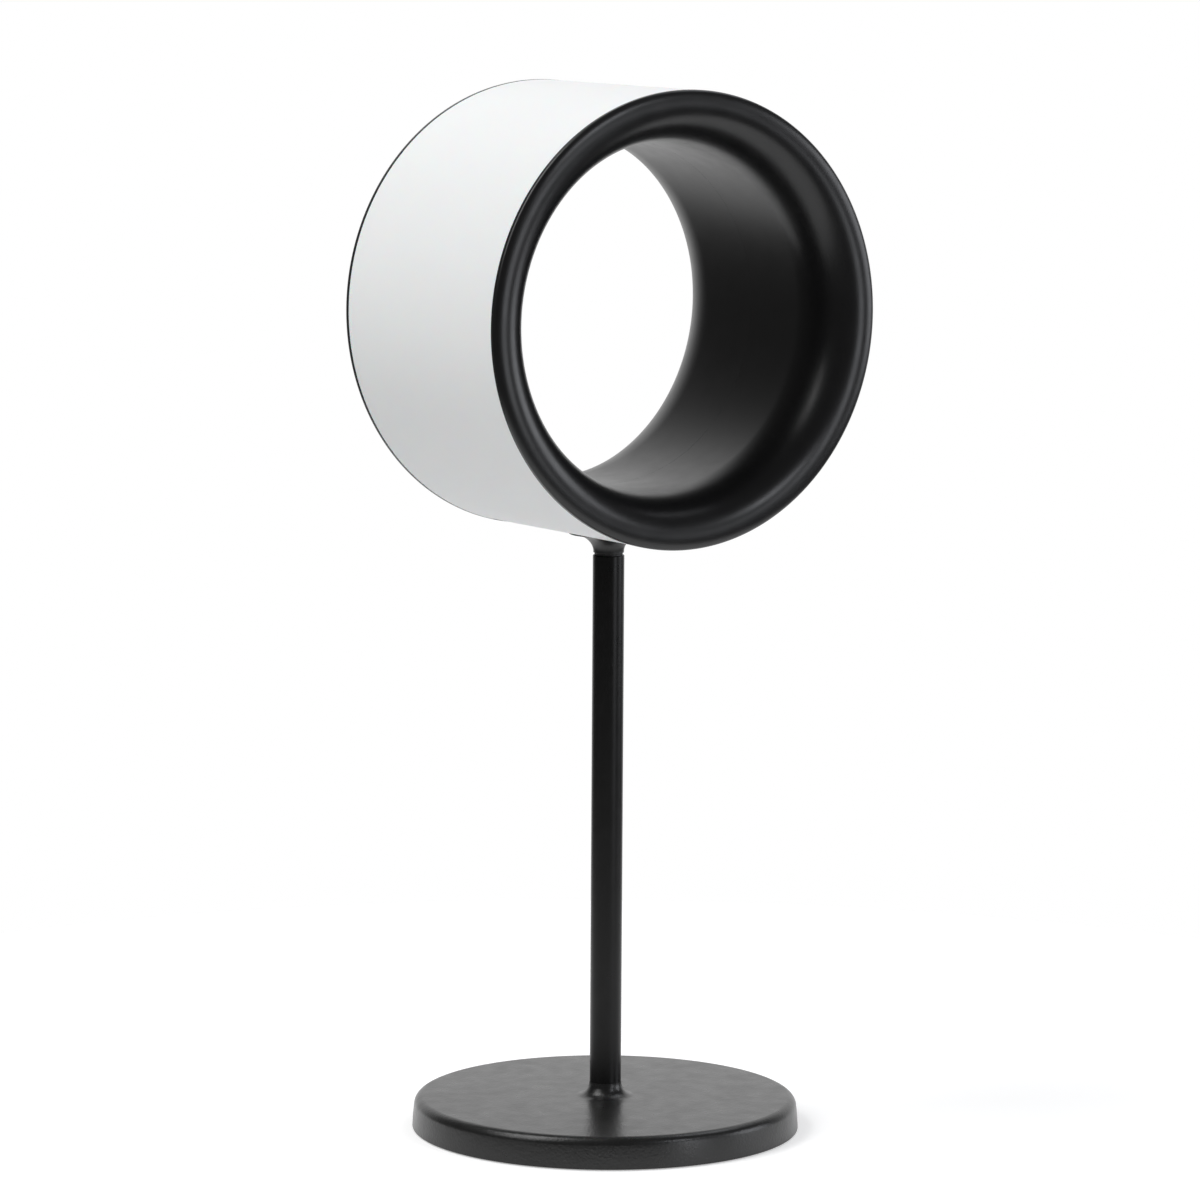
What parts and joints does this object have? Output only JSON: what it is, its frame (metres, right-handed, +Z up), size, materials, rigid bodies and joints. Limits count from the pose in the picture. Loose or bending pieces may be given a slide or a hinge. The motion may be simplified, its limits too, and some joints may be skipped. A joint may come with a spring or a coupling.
{
  "type": "table lamp",
  "caption": "Table lamp with a hollow drum head, white outer diffuser, black flared rims and open throat, turning on a slim stem above a round weighted base.",
  "frame": {"origin": "on the floor, on the stem's axis, under the centre of the base", "axes": "+Z up along the stem, Y along the drum's axis with the front opening towards -Y, +X to the right seen from the front"},
  "size_m": [0.24, 0.2084, 0.5617],
  "materials": {
    "black_powder_coat": "fine-textured black powder coat",
    "black_tube_coat": "smooth satin black coat",
    "black_aluminium": "satin black coat on aluminium",
    "satin_black": "satin black moulding",
    "opal_white": "satin opal white",
    "black_moulding": "matt black moulding",
    "bearing_plastic": "self-lubricating dark plastic",
    "zinc_steel": "zinc-plated steel",
    "raw_iron": "as-cast iron",
    "foot_rubber": "matt foam rubber",
    "contact_brass": "plain brass",
    "lead_sheath": "black lead sheath",
    "bare_aluminium": "mill finish",
    "strip_white": "white solder mask",
    "chip_yellow": "phosphor gel",
    "reflector_white": "glossy white",
    "board_green": "green solder mask"
  },
  "bodies": {
    "base": {"base_shell": "black_powder_coat", "ballast_plate": "raw_iron", "base_cover": "zinc_steel", "cover_screws": "zinc_steel", "base_pad": "foot_rubber", "stem_tube": "black_tube_coat", "foot_insert": "zinc_steel", "foot_washer": "zinc_steel", "foot_nut": "zinc_steel", "power_inlet": "black_moulding", "inlet_contact": "contact_brass", "inlet_nut": "zinc_steel", "supply_lead": "lead_sheath", "swivel_bush": "bearing_plastic", "friction_washer": "bearing_plastic"},
    "head": {"swivel_spindle": "zinc_steel", "stop_pin": "zinc_steel", "retaining_clip": "zinc_steel", "spring_washer": "zinc_steel", "neck": "black_tube_coat", "neck_dowel": "zinc_steel", "spindle_washer": "zinc_steel", "spindle_nut": "zinc_steel", "spine": "black_aluminium", "spine_screws": "zinc_steel", "front_trumpet": "satin_black", "rear_trumpet": "satin_black", "throat_band": "black_moulding", "diffuser": "opal_white", "led_carrier": "bare_aluminium", "front_led_strip": "strip_white", "rear_led_strip": "strip_white", "led_chips": "chip_yellow", "front_reflector": "reflector_white", "rear_reflector": "reflector_white", "driver_board": "board_green", "board_screws": "zinc_steel", "board_components": "black_moulding", "lead_connector": "strip_white", "strip_leads": "lead_sheath", "switch_housing": "black_moulding"},
    "button": {"button_cap": "black_moulding", "switch_plunger": "bearing_plastic"}
  },
  "joints": [
    {"name": "head_swivel", "type": "hinge", "parent": "base", "child": "head", "pos_m": [0, 0, 0.31285], "axis": [0, 0, 1], "range_deg": [-160, 160]},
    {"name": "button_press", "type": "slide", "parent": "head", "child": "button", "axis": [0, 0, 1], "range_m": [0, 0.0008], "stiffness_N_per_m": 1200, "springref_m": -0.0005}
  ]
}
